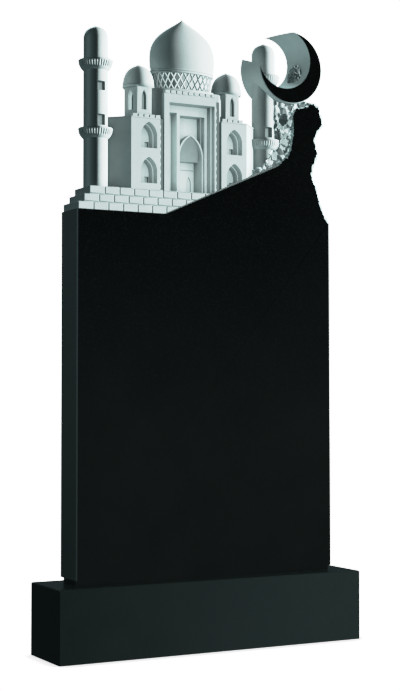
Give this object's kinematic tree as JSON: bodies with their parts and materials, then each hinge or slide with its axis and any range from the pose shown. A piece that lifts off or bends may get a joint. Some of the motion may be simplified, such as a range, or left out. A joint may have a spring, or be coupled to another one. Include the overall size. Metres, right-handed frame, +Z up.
{
  "type": "headstone",
  "caption": "Black granite headstone whose head is carved as a domed mosque with minarets and a crescent, standing on a low polished plinth.",
  "frame": {"origin": "middle of the plinth's underside", "axes": "+Z up the stone, +Y from the polished front panel to the back, +X to the right as seen from the front"},
  "size_m": [0.7, 0.15, 1.3183],
  "materials": {
    "polished_granite": "polished",
    "milled_granite": "honed"
  },
  "bodies": {
    "root": {"plinth": "polished_granite", "stele": "milled_granite"}
  },
  "joints": []
}
